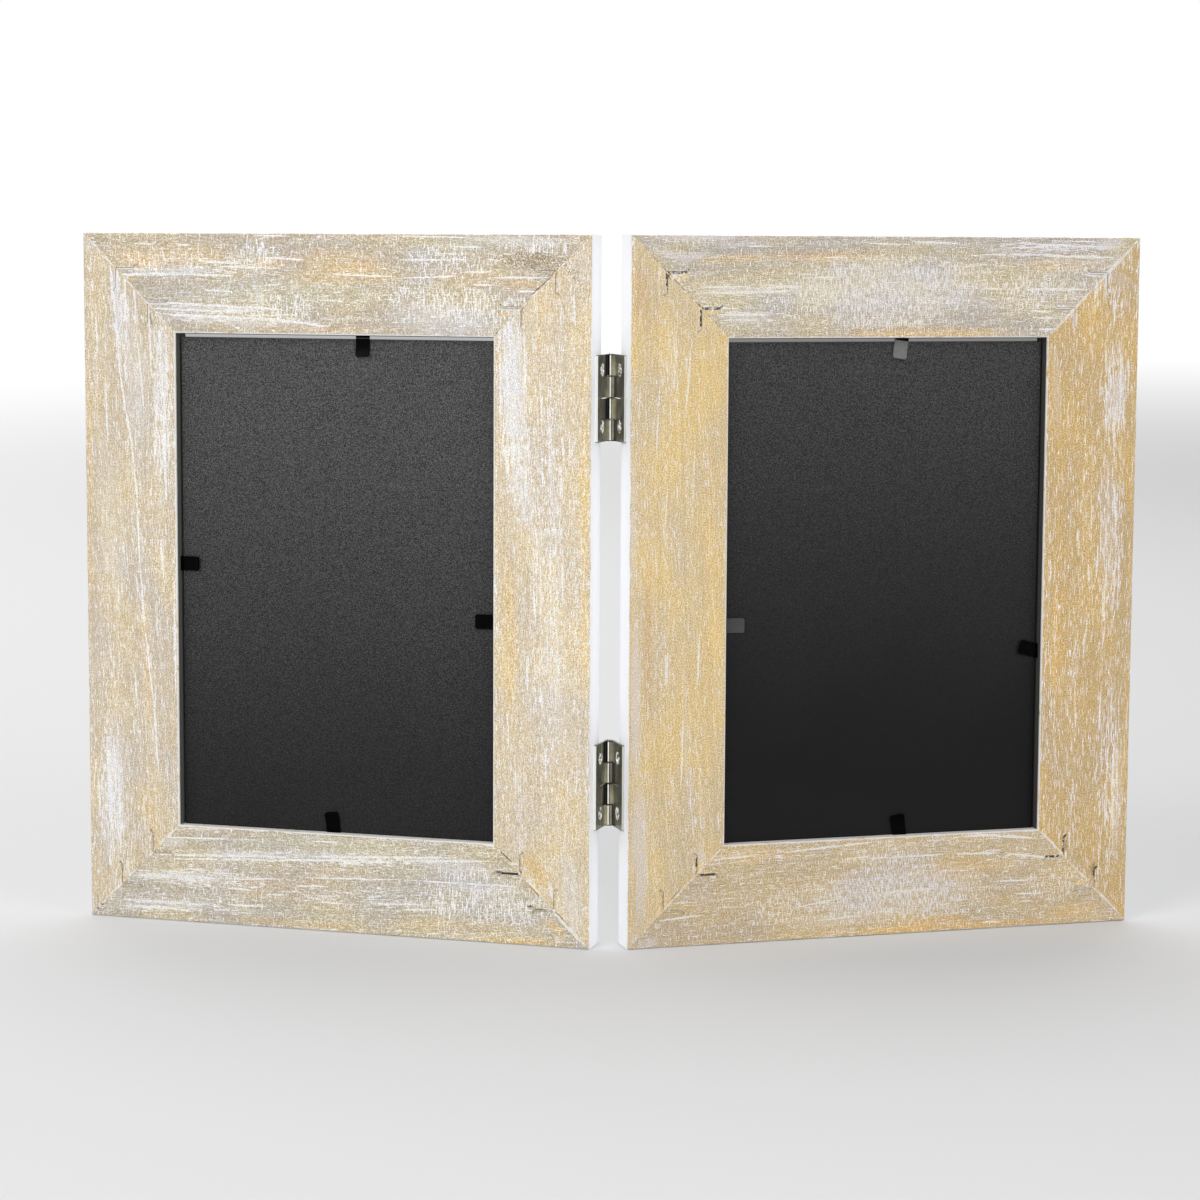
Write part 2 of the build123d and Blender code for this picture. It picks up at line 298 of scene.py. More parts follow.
woodLooks["left_bottom_rail"] = {
    "seed": 2.0, "lean": -0.045, "streaks": 0.2, "hatches": 0.22,
    "tones": ((174, 160, 132), (199, 188, 166), (226, 223, 217)),
    "tinted": [
        ((196, 192, 176), (135, 26, 38, 28, 3, 0.7)),
        ((214, 190, 150), (130, 12, 70, 14, 5, 0.6), (110, 20, 60, 18, 3.5, 0.45),
         (70, 4, 20, 5, 3.5, 0.5)),
        ((220, 190, 132), (42, 0.8, 2, 1.2, 1.3, 0.8), (13, 7.5, 8, 4, 2.2, 0.8),
         (122, 2, 60, 1.6, 1.5, 0.5), (100, 9, 76, 8, 3, 0.35)),
    ],
    "film": [
        (150, 14, 118, 14.6, 2, 0.7), (135, 21.6, 60, 24.6, 1.5, 0.6), (60, 24, 30, 22.5, 3, 0.6),
        (160, 3.6, 118, 6, 2.2, 0.5), (52, 18, 20, 16.5, 2.6, 0.5), (141, 25, 132, 25, 2.2, 0.6),
    ],
    "streaked": [
        (150, 14, 100, 14, 4, 0.8), (130, 21, 40, 24, 3, 0.7), (160, 4, 100, 5, 3, 0.7),
        (100, 11, 50, 10, 4, 0.5),
    ],
    "hatched": [(52, 12, 12, 12, 9, 0.95), (48, 22, 32, 20, 4.5, 0.7), (132, 10, 116, 10, 7, 0.4)],
    "lines": [
        (142, 20.6, 95, 22.6, 0.45), (95, 22.8, 40, 25.6, 0.4), (140, 19.4, 60, 23.4, 0.4),
        (60, 23.5, 30, 25.2, 0.4), (143, 26.2, 106, 27.2, 0.3), (150, 13.6, 118, 14.4, 0.6),
        (118, 14.4, 98, 15.6, 0.4), (92, 16.3, 60, 17.6, 0.35), (60, 17.6, 20, 17.9, 0.3),
        (120, 11.6, 108, 11.2, 0.35), (106, 10.2, 98, 10.6, 0.3), (155, 5.6, 120, 5.6, 0.45),
        (152, 3.6, 134, 3.9, 0.4), (118, 6.2, 104, 6.4, 0.35), (70, 9.5, 52, 10.4, 0.3),
        (60, 8.3, 48, 9, 0.3), (95, 13.6, 84, 14, 0.35), (88, 10.8, 80, 11.2, 0.3), (90, 27.8, 80, 28.2, 0.3),
    ],
}
woodLooks["left_hinge_stile"] = {
    "seed": 3.0, "lean": 0.02, "streaks": 0.46, "hatches": 0.0,
    "tones": ((196, 175, 138), (222, 205, 174), (238, 230, 218)),
    "tinted": [
        ((233, 202, 138), (2.4, 192, 1.6, 60, 2, 0.7), (26, 122, 24.5, 58, 3, 0.65),
         (17, 30, 16, 14, 4, 0.45)),
        ((222, 192, 148), (10, 204, 16, 190, 4, 0.4)),
    ],
    "soot": [(9, 206, 5, 201, 2.4, 0.55)],
    "film": [
        (25.5, 190, 23.5, 150, 4.6, 0.75), (23.5, 152, 19, 124, 3.6, 0.5), (12, 104, 10, 58, 6, 0.3),
        (7, 26, 4, 5, 4.5, 0.5),
    ],
    "streaked": [(25, 194, 22, 128, 6, 1.0), (14, 180, 14, 60, 8, 0.4)],
    "lines": [
        (5.5, 197, 5, 187, 0.3), (25, 168, 24, 150, 0.35), (27, 151, 26, 143, 0.35), (22, 141, 20, 127, 0.35),
        (9, 118, 8.5, 104, 0.3), (18, 111, 17, 97, 0.3), (26, 71, 25.5, 60, 0.35), (20, 88, 19.5, 77, 0.3),
        (14, 61, 13.6, 50, 0.3), (21, 186, 20.5, 170, 0.3), (28.4, 180, 28.2, 160, 0.4),
    ],
}
woodLooks["left_outer_stile"] = {
    "seed": 4.0, "lean": 0.035, "streaks": 0.46, "hatches": 0.0,
    "tones": ((189, 170, 137), (212, 196, 168), (233, 226, 218)),
    "tinted": [
        ((226, 194, 138), (145, 104, 143, 62, 2.4, 0.6), (162.6, 205, 163, 60, 1.3, 0.55),
         (140, 22, 148, 44, 3.5, 0.4), (139, 205, 143, 190, 3, 0.4)),
    ],
    "film": [
        (153.4, 205, 152, 180, 1.7, 0.8), (137, 186, 139, 160, 3, 0.55), (155, 62, 157, 20, 5, 0.5),
        (148, 190, 146, 150, 5, 0.4), (156, 150, 154, 100, 5, 0.3),
    ],
    "streaked": [(153, 205, 150, 170, 4, 0.8), (157, 60, 156, 15, 5, 0.9), (138, 190, 138, 130, 4, 0.8)],
    "lines": [
        (155, 205, 153.5, 189, 0.5), (153.5, 191, 152, 169, 0.45), (152, 171, 150.4, 159, 0.4),
        (150.5, 161, 148.4, 149, 0.4), (148.5, 151, 146.6, 131, 0.4), (146.8, 133, 146, 109, 0.35),
        (146, 111, 144.5, 91, 0.4), (144.6, 93, 142, 69, 0.4), (142, 71, 140.3, 45, 0.35),
        (150, 206, 150, 186, 0.35), (147, 200, 146.5, 185, 0.35), (146, 181, 144, 159, 0.35),
        (142, 188, 141.5, 169, 0.3), (137.4, 160, 137, 130, 0.5), (139, 120, 138, 107, 0.35),
        (157, 171, 156.5, 149, 0.35), (160, 190, 159.6, 175, 0.3), (158, 59, 157, 29, 0.5),
        (161, 46, 160.5, 31, 0.4), (154, 49, 153.6, 19, 0.35), (148, 77, 147.6, 67, 0.3),
        (136.5, 182, 136.2, 166, 0.4), (134.6, 112, 134.4, 70, 0.4),
    ],
}
woodLooks["right_top_rail"] = {
    "seed": 5.0, "lean": 0.0, "streaks": 0.2, "hatches": 0.35,
    "tones": ((163, 146, 118), (190, 179, 157), (217, 212, 204)),
    "tinted": [
        ((214, 180, 124), (48, 208, 16, 206.4, 1.7, 0.6), (58, 185.2, 133, 185.2, 1.7, 0.85),
         (38, 208, 78, 208, 2.4, 0.55), (118, 206, 150, 205, 3, 0.35)),
        ((193, 187, 172), (20, 198, 60, 196, 6, 0.5)),
    ],
    "soot": [(126, 213.4, 150, 213.2, 0.9, 0.6)],
    "film": [
        (4, 213, 36, 213.4, 1.7, 0.7), (7, 209.6, 19, 206.4, 1.7, 0.75), (14, 205.4, 25, 209.8, 1.2, 0.8),
        (24, 209.8, 42, 212.6, 0.9, 0.8), (50, 198, 112, 198, 11, 0.35), (158, 212.6, 150, 211.6, 2.2, 0.95),
        (28, 190, 46, 190, 2.5, 0.5), (20, 197.4, 48, 197.8, 1.3, 0.45),
    ],
    "streaked": [(20, 197, 55, 198, 2.5, 0.7), (26, 190, 50, 190, 3, 0.6), (110, 210, 157, 210, 4, 0.7)],
    "hatched": [(45, 197, 115, 200, 12, 0.9), (100, 190, 60, 190, 6, 0.7), (142, 200, 118, 196, 8, 0.7)],
    "lines": [
        (19, 198.6, 37, 198.9, 0.35), (20, 196.8, 50, 197.6, 0.35), (41, 198.6, 54, 198.9, 0.3),
        (53, 201.5, 67, 201.8, 0.3), (25, 192.5, 34, 192.3, 0.35), (26, 190.6, 44, 190.6, 0.45),
        (28, 188.8, 40, 189, 0.35), (74, 211.9, 88, 211.6, 0.3), (88, 212.4, 105, 212, 0.35),
        (110, 208.6, 135, 208.9, 0.35), (130, 208.5, 157, 207.8, 0.5), (123, 212, 157, 211, 0.4),
        (108, 198.3, 125, 198.3, 0.3), (125, 198.1, 147, 198.2, 0.5), (128, 189.6, 139, 189.4, 0.35),
        (127, 191.6, 136, 191.4, 0.3), (130, 186, 137, 186, 0.3), (133, 213, 150, 212.6, 0.3),
        (90, 194, 104, 194, 0.25), (60, 207.6, 68, 207.6, 0.3), (36, 210.8, 44, 211, 0.3),
    ],
}
woodLooks["right_bottom_rail"] = {
    "seed": 6.0, "lean": 0.03, "streaks": 0.2, "hatches": 0.3,
    "tones": ((171, 147, 104), (201, 180, 141), (218, 205, 186)),
    "tinted": [
        ((220, 178, 104), (58, 1.3, 152, 1.5, 1.3, 0.95), (84, 3.4, 116, 4, 1.6, 0.7),
         (90, 20, 126, 19, 5, 0.35), (136, 4, 156, 5, 2.5, 0.4), (30, 26, 60, 27, 2.5, 0.4)),
    ],
    "film": [(48, 4.6, 78, 6, 3, 0.4), (60, 12, 112, 14, 11, 0.3), (4, 1, 9, 2, 2, 0.7)],
    "streaked": [(24, 26, 60, 27.5, 2, 0.6), (50, 10, 72, 12, 2, 0.4), (110, 24, 138, 22, 2, 0.5)],
    "hatched": [
        (60, 12, 112, 12, 12, 0.9), (70, 24, 100, 20, 8, 0.7), (130, 12, 150, 14, 7, 0.5),
        (40, 10, 60, 10, 7, 0.6),
    ],
    "lines": [
        (9, 8.2, 25, 9.4, 0.3), (26, 26.2, 44, 26.9, 0.35), (50, 27.4, 80, 29.2, 0.35),
        (53, 9.9, 70, 12.4, 0.3), (75, 24, 104, 24.2, 0.3), (104, 24.2, 122, 23.6, 0.35),
        (122, 23.6, 139, 21, 0.4), (108, 29.4, 119, 29.3, 0.35), (112, 30, 134, 27.6, 0.45),
        (60, 5.5, 75, 6.4, 0.25), (126, 10.4, 136, 10.2, 0.3), (86, 13.2, 100, 13.6, 0.25),
        (120, 14.8, 131, 14.6, 0.3),
    ],
}
woodLooks["right_hinge_stile"] = {
    "seed": 7.0, "lean": -0.03, "streaks": 0.2, "hatches": 0.0,
    "tones": ((188, 162, 113), (218, 195, 149), (232, 215, 184)),
    "tinted": [
        ((214, 170, 110), (2.5, 206, 4, 186, 3, 0.5), (5.4, 125, 6, 60, 1.7, 0.6)),
        ((228, 198, 138), (26, 170, 26, 60, 4, 0.5)),
    ],
    "film": [
        (3.4, 52, 3.6, 4, 3.4, 0.95), (1.6, 105, 2.2, 46, 2, 0.9), (0.9, 156, 1.1, 98, 1.1, 0.65),
        (22.5, 30, 24.5, 24, 2, 0.7), (17, 92, 19.5, 30, 1.4, 0.4), (2, 2.6, 7, 1, 2.6, 0.95),
    ],
    "bare": [(2, 28, 2.2, 6, 0.7, 0.9)],
    "streaked": [(14, 190, 13, 160, 4, 0.35), (20, 70, 19, 25, 3, 0.4), (10, 100, 10, 70, 4, 0.3)],
    "lines": [
        (9, 171, 8, 149, 0.3, 0.6), (14, 187, 13.5, 167, 0.3, 0.6), (19, 186, 17, 159, 0.35, 0.6),
        (20, 151, 19.6, 134, 0.3, 0.5), (22, 96, 21.5, 79, 0.35, 0.8), (17, 71, 16.5, 49, 0.35, 0.7),
        (12, 91, 11.6, 79, 0.3, 0.6), (3, 171, 2.6, 159, 0.3, 0.5), (11.5, 140, 11, 126, 0.3, 0.5),
    ],
}
woodLooks["right_outer_stile"] = {
    "seed": 8.0, "lean": 0.0, "streaks": 0.36, "hatches": 0.0,
    "tones": ((176, 146, 89), (202, 173, 120), (217, 199, 173)),
    "tinted": [
        ((220, 180, 104), (146, 182, 150, 196, 3, 0.5), (139, 165, 138.5, 50, 3, 0.45),
         (160, 60, 158, 20, 2, 0.3)),
    ],
    "soot": [(152, 19, 151, 13, 1.6, 0.4)],
    "film": [
        (157.6, 171, 156, 158, 4.6, 0.6), (155, 150, 156, 100, 4, 0.3), (160, 62, 160.5, 18, 2.6, 0.4),
        (136, 184, 138, 150, 2, 0.35), (149, 205, 160, 200, 3, 0.4),
    ],
    "streaked": [
        (157, 182, 156, 152, 6, 0.9), (155, 150, 156, 88, 6, 0.5), (157, 82, 158, 10, 5, 0.5),
        (150, 205, 158, 190, 4, 0.6),
    ],
    "lines": [
        (153, 208, 152.6, 199, 0.4), (149.4, 202, 149, 194, 0.35), (156, 196, 155.6, 186, 0.3),
        (152, 120, 151.6, 108, 0.35, 0.8), (158, 132, 157.6, 121, 0.35, 0.8), (154, 74, 153.6, 60, 0.35, 0.8),
        (159, 58, 158.4, 41, 0.4, 0.9), (148, 92, 147.8, 84, 0.3, 0.7),
    ],
}

# Joints, fillings and torn spots at the corners of each back, shared by the members that meet there
cornerMarks = {}
cornerMarks["left"] = {
    "white": [
        (163.4, 213.4, 152, 202, 0.42), (153, 203, 141, 191, 0.28), (142, 192, 134, 184, 0.25, 0.7),
        (151, 201, 144.6, 201.2, 0.45), (141.5, 192.2, 135, 192.2, 0.4), (12.6, 12.2, 1, 0.8, 0.65),
        (20.5, 20.8, 14, 14.6, 0.5), (12.6, 20, 11.4, 14.6, 0.7, 0.9), (25.4, 24.8, 22.6, 24.8, 0.6, 0.9),
        (160, 4.6, 151, 13, 0.35, 0.8), (141.4, 23, 134, 30, 0.6, 0.8), (29.6, 191.8, 24.6, 191.9, 0.35, 0.9),
        (151.6, 14, 151.2, 18.6, 0.9, 0.8), (17, 20.5, 20, 19.4, 0.4),
    ],
    "torn": [
        (20.5, 28, 13.2, 18.6, 3, 0.8), (19, 18.4, 14, 14.2, 0.8, 0.9), (29, 190.2, 25, 190.2, 0.9, 0.8),
        (141.4, 24.6, 140.6, 23, 0.8), (150.4, 16.4, 150.8, 17.6, 0.8), (149, 199.8, 146, 199.8, 0.6, 0.8),
    ],
    "dark": [
        (11.4, 202.4, 19.5, 195.4, 0.28), (30.2, 183.8, 27.6, 186.6, 0.34, 0.9),
        (30.2, 30.2, 22.6, 23.6, 0.3), (12.8, 12.9, 5.6, 6.2, 0.26), (19.4, 18.9, 14, 13.8, 0.25, 0.8),
        (163.8, 0.4, 158.6, 5, 0.3, 0.8), (150, 14, 144, 20, 0.2, 0.6), (141.8, 189.6, 141, 185.4, 0.3, 0.8),
        (161.6, 211.8, 153.4, 203.2, 0.16, 0.7), (29.4, 21.9, 27.8, 22.0, 0.5), (19.4, 11.9, 17.8, 12.0, 0.5),
    ],
}
cornerMarks["right"] = {
    "white": [
        (163.5, 213.4, 148, 198, 0.75), (149, 199, 134.4, 184.2, 0.6), (151, 202.2, 144.6, 202.8, 0.55),
        (141.4, 192.4, 135, 193.2, 0.55), (152.8, 202.4, 153, 196.4, 0.45), (143, 192, 142.8, 186, 0.45),
        (134, 30.4, 143.4, 21, 0.55, 0.9), (144, 20, 152, 12.4, 0.45, 0.8),
        (152.6, 11.6, 162.8, 1.4, 0.6, 0.9), (4, 4.4, 29.6, 30, 0.22, 0.5), (28.6, 192.8, 27.6, 193, 0.8),
        (23.6, 193.2, 22.4, 193, 0.4), (20.6, 22, 20.8, 26, 0.4, 0.8),
    ],
    "torn": [
        (13, 201, 18, 202.2, 1.1, 0.8), (22.6, 191.2, 27.2, 191.6, 1.2, 0.7),
        (22.8, 188.4, 25.4, 189, 1.2, 0.7), (22.9, 25.4, 22.7, 22.5, 0.9), (23.4, 22.4, 26, 22.2, 0.6),
        (147, 12.6, 150.6, 13.4, 0.9, 0.9), (143.6, 190, 142, 187, 0.9, 0.5),
        (12.2, 14.6, 14.8, 16.6, 0.5, 0.7),
    ],
    "dark": [
        (1, 213.2, 30.2, 184, 0.2, 0.8), (10.8, 203.4, 12, 201, 0.4), (21, 193.6, 21.4, 192.6, 0.35),
        (163.4, 213.6, 156, 206.4, 0.22, 0.7), (141.6, 191.4, 134.6, 184.6, 0.16, 0.6),
        (143.6, 27.4, 143, 23, 0.5, 0.5), (153, 19.4, 152.4, 14.6, 0.7, 0.45), (152, 12, 162.4, 1, 0.18, 0.7),
        (16.8, 18, 13, 14, 0.22, 0.7),
    ],
}

# Noises in the wood: stretch, what is added to the member's seed, detail and roughness
woodNoises = {
    "broad": ((1 / 26, 1 / 12, 1 / 12), 0, 2.0, 0.5),
    "rings": ((1 / 90, 1 / 1.7, 1 / 1.7), 1, 3.0, 0.6),
    "fibres": ((1 / 4.2, 1 / 0.40, 1 / 0.40), 2, 2.0, 0.6),
    "grit": ((1 / 0.42, 1 / 0.30, 1 / 0.30), 3, 1.0, 0.6),
    "ragged": ((0.55, 0.55, 1), 4, 3.0, 0.6),
    "thin": ((1 / 3.0, 1 / 0.26, 1 / 0.26), 5, 0.5, 0.5),
    "wide": ((1 / 11, 1 / 0.75, 1 / 0.75), 6, 1.5, 0.5),
    "saw": ((1 / 0.26, 1 / 2.2, 1 / 2.2), 7, 1.0, 0.5),
    "wavy": ((0.12, 0.12, 1), 8, 3.0, 0.6),
    "sway": ((1, 1, 1), 20, 1.0, 0.5),
}

woodFinish = {
    # how much each layer of the grain lightens and darkens the tone
    "weights": {"broad": 0.12, "rings": 0.12, "fibres": 0.25, "grit": 0.40},
    "contrast": (0.36, 0.64),    # what of a layer's noise is stretched to 0 and 1
    "sway": 5.0,             # millimetres that the grain wanders
    "swayStretch": (0.014, 0.03),    # along and across
    "ragged": (2.4, 0.5),    # millimetres that a spot's edge wanders, broad ones and fine ones
    "film": 0.16,            # how much film and chalk lighten the tone
    "chalk": 0.9,
    "stops": (0.0, 0.5, 0.86, 1.0),    # the three tones and chalk
    "cool": (0.97, 1.0, 1.15, 1),      # where the lime has sunk in
    "warm": (1.065, 0.985, 0.74, 1),   # where the wood is bare
    "cast": {"left": 0.68, "right": 0.9},
    "castByBroad": 0.85,     # the rings make the rest of it
    "castUnderChalk": 0.6,
    "stain": (0.75, 0.5),    # strength, and how much of it the chalk takes away
    "brightest": 1.6,
    "dirt": 0.75,
    "veil": (1.15, 0.8, 0.75),    # how much film hides: in pores, less on grit, and all of it times this
    "veilMost": 0.8,
    "speckle": 0.36,
    "relief": 0.00012,       # metres of bump
}

# Chalk-white lime lies where a noise is above a level; full density lowers the level
chalkLook = {
    "marked": 0.8,           # density that a marked spot adds
    "byRings": 0.35,
    "lowered": 0.18,
    "level": 0.715,
    "sawLevel": 0.69,
    "thin": (-0.015, 0.02),
    "wide": (0.01, 0.06, 0.0, 0.55),
    "saw": (0.0, 0.03, 0.0, 0.9),
    "lineEdge": 0.7,
    "inFibres": (0.0, 0.35, 0.25, 1.0),
}

cornerLook = {
    "edge": 0.3,
    "torn": (0.5, 0.75),     # how light torn wood is: by the tone, and at least
    "dark": 0.85,
    "filled": (1.0, 0.6, 0.4, 1.0),
}

# White paint on the edges and the front, painted shade on the opening's walls and ledge, and painted light
# where the ledge shows
paintLook = {
    "lap": 0.28,             # millimetres of paint over the arris
    "lapEdge": (0.12, -0.08),
    "evenly": 0.42,          # the wavy noise's middle
    "front": (0.3, 0.1),     # millimetres behind the ledge
    "deep": (-0.25, -0.45),  # millimetres from the back
    "outer": (3, 1),         # millimetres from the rim
    "inner": 0.85,           # white along the inner arris, where the wood stands proud
    "innerReach": (0.42, 0.2),
    "proud": (0.38, 0.6),
    "byFibres": 0.4,
    # wall and shade are painted shade: dark on the outer stiles' inner walls, darker on the right frame, and
    # on the ledge
    "wall": {"left": tint(84, 84, 80), "right": tint(60, 60, 57)},
    "shade": tint(26, 26, 24),
    # ledge is the painted light glowing on the ledge's top sliver, weaker on the right frame; glow is a faint
    # painted light on the paint
    "ledge": {"left": (0.46, 0.46, 0.45, 1), "right": (0.225, 0.225, 0.215, 1)},
    "glow": (0.03, 0.03, 0.032, 1),
    "relief": (0.85, 0.15),  # of the grain's height: what paint takes away, and what it leaves
    "roughness": (0.78, 0.48),
}


def cover(mask, grit):
    # lime, dirt or colour that lies more in the pores, the more of it the fuller
    return (mask * 1.4 - grit).step(0.0, 0.35)


# One member of a frame, with the place, the grain and the masks of its finish
class Member:
    def __init__(self, name):
        self.look = woodLooks[name]
        self.tones = [tint(*tone) for tone in self.look["tones"]]
        self.side = name.split("_")[0]
        self.rail = "rail" in name
        self.chalkColour = limeColours[self.side]["chalk"]
        self.bench = newMaterial(name + "_limed")
        self.u, self.v, self.w = u, v, w = panelPlace(self.bench, self.side)
        self.rim = u.least(panel["width"] - u).least(v.least(panel["height"] - v))
        self.grain = self.leaningGrain()
        weights = woodFinish["weights"]
        layers = [self.noise(layer).ramp(*woodFinish["contrast"]) for layer in weights]
        self.broad, self.rings, self.fibres, self.grit = layers
        self.tone = 0.5
        for found, weight in zip(layers, weights.values()):
            self.tone = (found - 0.5) * weight + self.tone
        flat = self.bench.join(u, v, 1.0)
        self.wavy = self.noise("wavy", flat)
        strays = self.noise("ragged", flat, 1).parts()
        self.ragged, self.nearly = (self.strayed(strays, wander) for wander in woodFinish["ragged"])

    def noise(self, layer, place=None, out=0):
        stretch, seed, detail, rough = woodNoises[layer]
        return self.bench.noise(place or self.grain, stretch, self.look["seed"] + seed, detail, rough, out)

    def leaningGrain(self):
        # the grain leans and wanders a little
        along, across = (self.u, self.v) if self.rail else (self.v, self.u)
        middle = panel["width" if self.rail else "height"] / 2
        stretched = [axis * stretch for axis, stretch in zip((along, across), woodFinish["swayStretch"])]
        sway = self.noise("sway", self.bench.join(*stretched))
        leaning = across - (along - middle) * self.look["lean"] + (sway - 0.5) * woodFinish["sway"]
        return self.bench.join(along, leaning, self.w)

    def strayed(self, strays, wander):
        # the place on the back, moved about so that spots keep a ragged edge
        places = zip((self.u, self.v), strays)
        return [self.bench.spread(axis + (stray - 0.5) * wander) for axis, stray in places]

    def soft(self, spots):
        return self.bench.marks(self.ragged, spots, 0.0)

    def crisp(self, spots, *edge):
        return self.bench.marks(self.nearly, spots, *edge)

    def chalked(self):
        # streaks in the open grain and along the saw's marks across it, and single lines
        look, finish = self.look, chalkLook
        density = self.soft(look["streaked"]) * finish["marked"] + look["streaks"]
        level = finish["level"] - (density + (self.rings - 0.5) * finish["byRings"]) * finish["lowered"]
        streaks = (self.noise("thin") - level).step(*finish["thin"])
        streaks = streaks.most((self.noise("wide") - level).step(*finish["wide"]))
        if look["hatches"] > 0:
            sawn = self.soft(look["hatched"]) * finish["marked"] + look["hatches"]
            level = finish["sawLevel"] - sawn * finish["lowered"]
            streaks = streaks.most((self.noise("saw") - level).step(*finish["saw"]))
        lines = self.crisp(look["lines"], finish["lineEdge"])
        return streaks.most(lines * self.fibres.step(*finish["inFibres"]))

    def limed(self):
        bench, look, finish = self.bench, self.look, woodFinish
        film = self.soft(look["film"])
        if "bare" in look:
            film = film * (1 - self.crisp(look["bare"]))
        chalk = self.chalked()
        light = film * finish["film"] + chalk * finish["chalk"] + self.tone
        stops = list(zip(finish["stops"], (*self.tones, self.chalkColour)))
        colour = bench.node("ShaderNodeValToRGB", {"stops": stops}, {0: light})
        byBroad = finish["castByBroad"]
        cast = bench.blend(self.broad * byBroad + self.rings * (1 - byBroad), finish["cool"], finish["warm"])
        lasting = (1 - chalk * finish["castUnderChalk"]) * finish["cast"][self.side]
        colour = bench.blend(lasting, colour, bench.blend(1.0, colour, cast, "MULTIPLY"))

        # warm and grey patches, dirt, and the film over them
        strength, less = finish["stain"]
        for shade, *spots in look["tinted"]:
            shares = zip(tint(*shade)[:3], self.tones[1])
            stain = [min(part / middle, finish["brightest"]) for part, middle in shares]
            stained = bench.blend(1.0, colour, (*stain, 1.0), "MULTIPLY")
            colour = bench.blend(self.soft(spots) * (strength - chalk * less), colour, stained)
        if "soot" in look:
            dirt = cover(self.soft(look["soot"]) * finish["dirt"], self.grit) * finish["dirt"]
            colour = bench.blend(dirt, colour, limeColours["soot"])
        inPores, onGrit, share = finish["veil"]
        veil = (film * (inPores - self.grit * onGrit) * share).least(finish["veilMost"])
        return bench.blend(veil, colour, limeColours[self.side]["film"])

    def cornered(self, colour):
        # torn wood, open joints and filler where the members meet, then the speckle of the grain
        bench, grit = self.bench, self.grit
        look, spots = cornerLook, cornerMarks[self.side]
        torn, dark, filled = (self.crisp(spots[kind], look["edge"]) for kind in ("torn", "dark", "white"))
        byTone, least = look["torn"]
        tornWood = bench.shade(limeColours["torn"], self.tone * byTone + least)
        colour = bench.blend(cover(torn, grit), colour, tornWood)
        colour = bench.blend(dark * look["dark"], colour, limeColours["slit"])
        colour = bench.blend(filled * grit.step(*look["filled"]), colour, self.chalkColour)
        return bench.shade(colour, (grit - 0.5) * woodFinish["speckle"] + 1)

    def paint(self):
        look, rim, w = paintLook, self.rim, self.w
        lap = (rim - (self.wavy - look["evenly"]) * 2 * look["lap"]).step(*look["lapEdge"])
        front = w.step(*(panel["ledge"] + depth for depth in look["front"]))
        deep = w.step(*(panel["back"] + depth for depth in look["deep"])) * rim.step(*look["outer"])
        return lap.most(front).most(deep)

    def painted(self, colour, paint, ledge):
        # white paint, and painted shade on the opening's walls and ledge
        look, rim, w = paintLook, self.rim, self.w
        arris, back, foot = panel["moulding"], panel["back"], panel["ledge"]
        inner = (rim - arris + 0.1).size().step(*look["innerReach"])
        inner = inner * (self.wavy + self.fibres * look["byFibres"]).step(*look["proud"]) * look["inner"]
        colour = self.bench.blend(inner, colour, self.chalkColour)
        colour = self.bench.blend(paint, colour, limeColours["paint"])
        if not self.rail:
            # painted shade on the outer stile's inner wall
            wall = rim.step(arris - 0.3, arris - 0.1) * w.step(back - 0.6, back - 0.8)
            colour = self.bench.blend(wall * w.step(foot, foot + 0.2), colour, look["wall"][self.side])
        return self.bench.blend(ledge, colour, look["shade"])

    def glow(self, paint, ledge):
        # painted light: the sliver of ledge beyond the board's top edge glows as if it caught stray light,
        # and the paint glows a little
        top = panel["height"] - panel["moulding"]
        lit = ledge * self.v.step(top - 0.3, top - 0.5) * self.v.step(top - 1.4, top - 1.2)
        stray = self.bench.blend(paint, (0, 0, 0, 1), paintLook["glow"])
        return self.bench.blend(lit, stray, paintLook["ledge"][self.side])

    def finish(self):
        foot, arris, paint = panel["ledge"], panel["moulding"], self.paint()
        ledge = self.w.step(foot - 0.6, foot - 0.3) * self.w.step(foot + 0.4, foot + 0.1)
        ledge = ledge * self.rim.step(arris, arris + 0.1)
        colour = self.painted(self.cornered(self.limed()), paint, ledge)
        taken, left = paintLook["relief"]
        height = (self.fibres * 0.5 + self.grit * 0.5) * ((1 - paint) * taken + left)
        roughness = paint.ramp(0, 1, *paintLook["roughness"])
        # painted light on the ledge's sliver and on the paint
        glow = self.glow(paint, ledge)
        return finishMaterial(self.bench, colour, roughness, height, woodFinish["relief"], glow)


def give(name, material):
    for place in nodes[name].material_slots:
        place.material = material
    if not nodes[name].material_slots:
        nodes[name].data.materials.append(material)


for name in woodLooks:
    give(name, Member(name).finish())
print("limed wood on", len(woodLooks), "members")


boardLook = {
    # low to high up each board is a painted sheen, and the left board's lighter colours are painted light
    "left": {"low": (0.0105,) * 3 + (1,), "high": (0.070,) * 3 + (1,), "paintedSheen": (20, 190)},
    "right": {"low": (0.0009,) * 3 + (1,), "high": (0.052,) * 3 + (1,), "paintedSheen": (50, 230)},
    "pebble": ((1 / 0.32,) * 3, 31, 1.0, 0.6),    # noises: stretch, seed, detail and roughness
    "cloud": ((0.03,) * 3, 32, 2.0, 0.5),
    "clouding": 0.10,
    "flecks": 6.5,
    "darkest": 0.2,
    "relief": 0.00018,
    "roughness": 0.60,
    "uneven": 0.2,
    "specular": 0.2,
}


